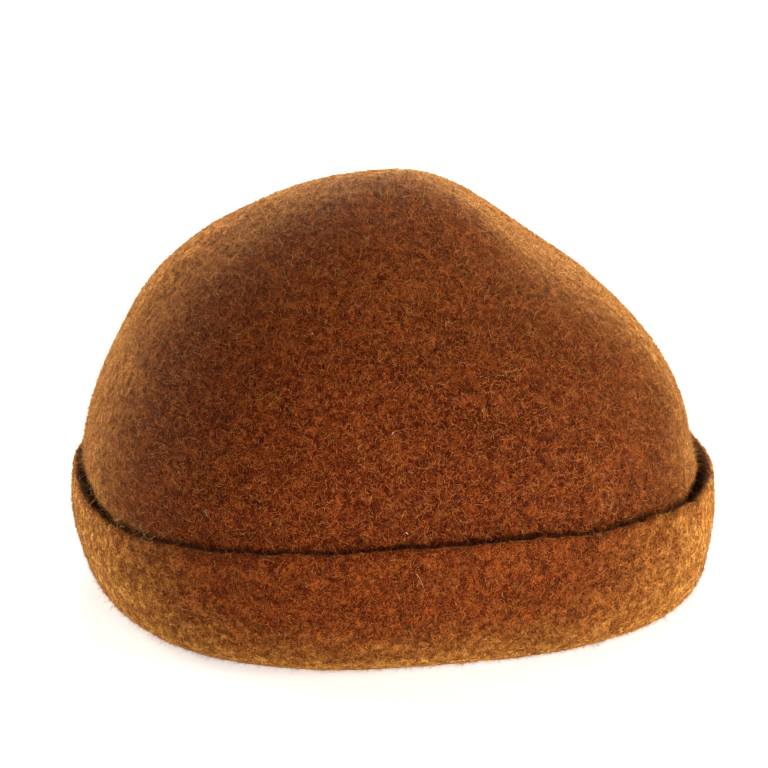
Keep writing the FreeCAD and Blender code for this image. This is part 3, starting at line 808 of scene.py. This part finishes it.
def reading(s, centre, direction):
    """How far a place lies from a centre in a direction, in metres."""
    apart = s.node("ShaderNodeVectorMath", operation="SUBTRACT")
    s.feed(apart.inputs[0], s.place)
    s.feed(apart.inputs[1], centre)
    dot = s.node("ShaderNodeVectorMath", operation="DOT_PRODUCT")
    s.feed(dot.inputs[0], apart.outputs[0])
    s.feed(dot.inputs[1], direction)
    return dot.outputs["Value"]


def between(s, value, low, high):
    """1 where the size of a value lies between two limits, else 0. A low limit of -1 is no limit."""
    size = s.math("ABSOLUTE", value)
    return s.math("MULTIPLY", s.math("GREATER_THAN", size, low), s.math("LESS_THAN", size, high))


def grosgrain_material(name, along):
    """Ribbed ribbon: along makes the reading that runs the ribbon's length."""
    s = Shader(name)
    ribs = stripes(s, along(s), RIB_PITCH)
    yarn = s.noise(2600, 2, 0.6)
    wear = s.noise(40, 3, 0.6)
    shade = s.math("ADD", s.math("MULTIPLY", ribs, 0.6), s.math("MULTIPLY", yarn, 0.4))
    colour = s.ramp(shade, (0.15, RIBBON_BROWN), (0.9, RIBBON_LIGHT))
    colour = s.mix(1.0, colour, s.ramp(wear, (0.3, grey(0.85)), (0.7, grey(1.1))), "MULTIPLY")
    return s.set(
        Base_Color=colour,
        Roughness=s.ramp(ribs, (0, grey(0.62)), (1, grey(0.42))),
        Normal=s.bump(shade, 0.8, 0.00025),
        Specular_IOR_Level=0.35,
    )


def round_the_hat(s):
    """Reading that runs round the hat's wall."""
    parts = s.node("ShaderNodeSeparateXYZ")
    s.feed(parts.inputs[0], s.place)
    angle = s.math("ARCTAN2", parts.outputs[1], parts.outputs[0])
    return s.math("MULTIPLY", angle, BAND_RADIUS)


def weave(s, along, up, ground, line, border):
    """Colour and height of a woven label: a fine weave, with a thin line near its border."""
    warp, weft = stripes(s, along, 0.42 * MM), stripes(s, up, 0.36 * MM)
    threads = s.math("MULTIPLY", s.math("ADD", warp, weft), 0.5)
    base = s.mix(threads, (*scaled(ground, 0.7), 1), (*scaled(ground, 1.25), 1))
    gilt = s.mix(threads, (*scaled(line, 0.75), 1), (*scaled(line, 1.15), 1))
    return s.mix(border, base, gilt), threads


def label_material(name, mesh, size):
    """A blank woven label of a width and height with a line round it."""
    centre, direction = lie_of(mesh)
    s = Shader(name)
    along = reading(s, centre, direction)
    up = reading(s, centre, (0, 0, 1))
    inset, line = 1.5 * MM, 0.5 * MM
    across, tall = (side / 2 - inset for side in size)
    ends = s.math("MULTIPLY", between(s, along, across - line, across), between(s, up, -1, tall))
    sides = s.math("MULTIPLY", between(s, up, tall - line, tall), between(s, along, -1, across))
    border = s.math("MAXIMUM", ends, sides)
    colour, threads = weave(s, along, up, LABEL_GROUND, LABEL_LINE, border)
    height = s.math("ADD", threads, s.math("MULTIPLY", border, 1.5))
    return s.set(Base_Color=colour, Roughness=0.55, Normal=s.bump(height, 0.7, 0.0002))


def satin_material(name, mesh):
    """Pale satin tape with long floats along its length and a faint crush."""
    centre, direction = lie_of(mesh)
    s = Shader(name)
    floats = stripes(s, reading(s, centre, direction), 0.30 * MM)
    crush = s.noise(160, 3, 0.5)
    shade = s.math("ADD", s.math("MULTIPLY", floats, 0.5), s.math("MULTIPLY", crush, 0.5))
    colour = s.ramp(shade, (0.25, SATIN_SHADE), (0.75, SATIN))
    height = s.math("ADD", s.math("MULTIPLY", floats, 0.3), crush)
    return s.set(Base_Color=colour, Roughness=0.34, Normal=s.bump(height, 0.5, 0.0003))


def thread_material(name, colour):
    s = Shader(name)
    lint = s.noise(5200, 2, 0.7)
    shade = s.ramp(lint, (0.3, scaled(colour, 0.7)), (0.7, scaled(colour, 1.25)))
    return s.set(Base_Color=shade, Roughness=0.6, Normal=s.bump(lint, 0.6, 0.0001))


def lie_of(mesh):
    """Centre of a thin upright piece and the level direction in which it is longest."""
    points = coordinates(mesh)
    centre = (points.min(0) + points.max(0)) / 2
    flat = points[:, :2] - points[:, :2].mean(0)
    long = np.linalg.svd(flat, full_matrices=False)[2][0]
    return tuple(centre), (long[0], long[1], 0.0)


def make_sweatband():
    """The ribbon hoop, as it lies against the crown's inside."""
    mesh = NODES["sweatband"].data.copy()
    mesh.shade_smooth()
    band = add_piece("sweatband_ribbon", mesh, grosgrain_material("sweatband", round_the_hat))
    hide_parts("sweatband")
    return band


def islands(mesh):
    """The separate closed shells of a mesh, as arrays of points."""
    shell = bmesh.new()
    shell.from_mesh(mesh)
    bmesh.ops.remove_doubles(shell, verts=shell.verts, dist=1e-7)
    left = set(shell.verts)
    found = []
    while left:
        start = min(left, key=lambda v: v.index)
        group, queue = {start}, [start]
        while queue:
            for edge in queue.pop().link_edges:
                for v in edge.verts:
                    if v not in group:
                        group.add(v)
                        queue.append(v)
        left -= group
        found.append(np.array([v.co[:] for v in sorted(group, key=lambda v: v.index)]))
    shell.free()
    return found


def tube(path, radius, sides=6):
    """Points and quads of a round tube along a path, with a radius at each step."""
    ahead = unit(np.gradient(path, axis=0))
    askew = np.array([0.31, 0.52, 0.79])
    side = unit(np.cross(ahead, askew))
    other = np.cross(ahead, side)
    turns = np.arange(sides) / sides * 2 * math.pi
    ring = side[:, None] * np.cos(turns)[None, :, None] + other[:, None] * np.sin(turns)[None, :, None]
    points = path[:, None] + ring * radius[:, None, None]
    steps = len(path)
    first = np.arange(steps - 1)[:, None] * sides + np.arange(sides)[None]
    second = np.arange(steps - 1)[:, None] * sides + (np.arange(sides)[None] + 1) % sides
    quads = np.stack([first, second, second + sides, first + sides], -1).reshape(-1, 4)
    return points.reshape(-1, 3), quads


# The hat's stitches: piece, CAD node, colour, slot and how far each thread bulges.
STITCHES = (
    ("headline_threads", "headline_seam", THREAD_BROWN, "brown_thread", 0.10 * MM),
    ("sweatband_threads", "sweatband_stitches", THREAD_BROWN, "brown_thread", 0.18 * MM),
    ("lap_threads", "lap_stitches", THREAD_BROWN, "brown_thread", 0.15 * MM),
    ("label_threads", "label_stitches", THREAD_BROWN, "brown_thread", 0.15 * MM),
    ("care_label_threads", "care_label_stitches", THREAD_PALE, "pale_thread", 0.15 * MM),
    ("tack_threads", "brim_tacks", THREAD_BROWN, "brown_thread", 0.30 * MM),
)
STITCH_STEPS = 13
TWIST = 0.9 * MM  # length in which a ply turns by one radian


def make_threads(name, node, colour, slot, bulge):
    """Rebuilds straight CAD stitches as two-ply threads that rise from the cloth and dip at both ends.

    The tacks lie across the hidden gap under the cuff, so they rise upwards, and the rest rise inwards.
    """
    verts, faces, count = [], [], 0
    for points in islands(NODES[node].data):
        centre = points.mean(0)
        axis = np.linalg.svd(points - centre, full_matrices=False)[2][0]
        reach = np.abs((points - centre) @ axis).max()
        thick = np.linalg.norm(points - centre - np.outer((points - centre) @ axis, axis), axis=1).max()
        rise = np.array([0, 0, 1.0]) if node == "brim_tacks" else -centre * np.array([1, 1, 0])
        rise = rise - axis * (rise @ axis)
        rise = rise / np.linalg.norm(rise)
        beside = np.cross(axis, rise)
        share = np.linspace(-1, 1, STITCH_STEPS)
        middle = centre + np.outer(share * reach, axis) + np.outer(bulge * (0.6 - share**4), rise)
        for ply in (0, math.pi):
            turn = ply + share * reach / TWIST
            offset = np.outer(np.cos(turn), rise) + np.outer(np.sin(turn), beside)
            radius = 0.56 * thick * np.clip((1.02 - np.abs(share)) * 6, 0.04, 1)
            more, quads = tube(middle + offset * 0.44 * thick, radius)
            verts.append(more)
            faces.append(quads + count)
            count += len(more)
    mesh = quad_mesh(name, np.concatenate(verts), np.concatenate(faces))
    mesh.shade_smooth()
    piece = add_piece(name, mesh, thread_material(name, colour))
    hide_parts(node)
    return piece


def make_bow():
    """The bow: loops pinched at the knot, tails that ripple a little, and a wrapped knot."""
    low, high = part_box("bow_knot")
    centre = np.array((low + high) / 2)
    material = grosgrain_material("bow_ribbon", lambda s: reading(s, tuple(centre), (1, 0, 0)))
    for name in ("bow_loop_left", "bow_loop_right", "bow_tail_left", "bow_tail_right", "bow_knot"):
        if name == "bow_knot":
            mesh = even_mesh(name, 0.30 * MM, 4)
        else:
            mesh = even_mesh(name, 0.16 * MM, 1)
        points = coordinates(mesh)
        far = np.abs(points[:, 0] - centre[0])
        if "loop" in name:
            open_share = np.clip((far - 2.4 * MM) / (7 * MM), 0, 1) ** 0.7
            points[:, 2] = centre[2] + (points[:, 2] - centre[2]) * (0.60 + 0.40 * open_share)
            fold = np.exp(-far / (4 * MM)) * np.cos((points[:, 2] - centre[2]) / (1.1 * MM))
            points[:, 1] -= 0.25 * MM * fold
        elif "tail" in name:
            points[:, 1] -= 0.22 * MM * np.sin(far / (2.1 * MM)) ** 2
        else:
            crease = np.cos((points[:, 0] - centre[0]) / (0.62 * MM))
            points += normals(mesh) * (0.13 * MM * crease)[:, None]
        set_coordinates(mesh, points)
        piece = add_piece(f"{name}_cloth", mesh, material)
        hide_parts(name)


def make_label(node, size):
    mesh = NODES[node].data.copy()
    label = add_piece(f"{node}_cloth", mesh, label_material(node, mesh, size))
    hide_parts(node)
    return label


def make_labels():
    """The maker's label and the size tab. The tab is too small to count as a sheet."""
    maker = make_label("maker_label", LABEL_SIZE)
    make_label("size_tab", TAB_SIZE)


def make_care_label():
    """A hanging satin label: its sewn hem, the fold, and the flap that turns on it."""
    hinge = next(j for j in frame["joints"] if j["name"] == "care_label_hinge")
    fold = np.array(hinge["pos_m"])
    axis = -np.array(hinge["axis"])
    mesh = NODES["care_label_hem"].data.copy()
    material = satin_material("care_label", mesh)
    hem = add_piece("care_label_hem_cloth", mesh, material)
    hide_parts("care_label_hem")
    mesh = even_mesh("care_label", 0.22 * MM, 1)
    points = coordinates(mesh)
    drop = np.clip((fold[2] - points[:, 2]) / CARE_SIZE[1], 0, 1)
    inward = -np.array([fold[0], fold[1], 0]) / np.hypot(fold[0], fold[1])
    beside = (points - fold) @ axis / (CARE_SIZE[0] / 2)
    curl = 1.6 * MM * drop**2.2 + 0.5 * MM * drop * beside**2
    set_coordinates(mesh, points + np.outer(curl, inward))
    flap = add_piece("care_label_flap", mesh, material, "care_label")
    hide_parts("care_label")
    join = make_fold(fold, axis, -inward, material)


# The bend of the care label: outward and upward from the hinge, in mm, from the hem down to the flap.
FOLD_PATH = ((1.45, 0.9), (1.35, 0.35), (1.0, 0.05), (0.55, -0.02), (0.15, -0.05), (0.0, -0.3))
FOLD_HALF_WIDE = 9.9 * MM
FOLD_THICK = 0.4 * MM
FOLD_STEPS = 8


def make_fold(fold, axis, out, material):
    """The bend of the care label between its hem and its flap."""
    path = np.array(FOLD_PATH) * MM
    ahead = unit(np.gradient(path, axis=0))
    side = np.stack([ahead[:, 1], -ahead[:, 0]], 1) * FOLD_THICK / 2
    loop = np.concatenate([path + side, (path - side)[::-1]])
    up = np.array([0, 0, 1.0])
    section = fold + np.outer(loop[:, 0], out) + np.outer(loop[:, 1], up)
    count = len(section)
    verts = np.concatenate([section + axis * x for x in np.linspace(-1, 1, FOLD_STEPS + 1) * FOLD_HALF_WIDE])
    k = np.arange(count)
    row = np.stack([k, (k + 1) % count, (k + 1) % count + count, k + count], 1)
    rows = [row + r * count for r in range(FOLD_STEPS)]
    ends = []
    last = FOLD_STEPS * count
    for m in range(count // 2 - 1):
        cap = np.array([[m, m + 1, count - 2 - m, count - 1 - m]])
        ends += [cap, cap[:, ::-1] + last]
    mesh = quad_mesh("care_label_fold", verts, np.concatenate(rows + ends))
    return add_piece("care_label_fold", mesh, material)


# ---------------------------------------------------------------------------------------------------------
# Make it
# ---------------------------------------------------------------------------------------------------------

make_camera()
make_surround()
for name, settings in SOFTBOXES.items():
    soft_light(name, *settings)
make_floor()
brim_felt = make_brim()
crown_felt = make_crown(lip_height(brim_felt.data))
felts = [crown_felt, brim_felt]
make_nap(felts, NAP_COUNT)
make_fuzz(felts, FUZZ_COUNT)
make_lip_fringe(brim_felt, FRINGE_COUNT)
make_strays(brim_felt, crown_felt)
make_lint(felts)
band = make_sweatband()
for stitches in STITCHES:
    make_threads(*stitches)
make_bow()
make_labels()
make_care_label()
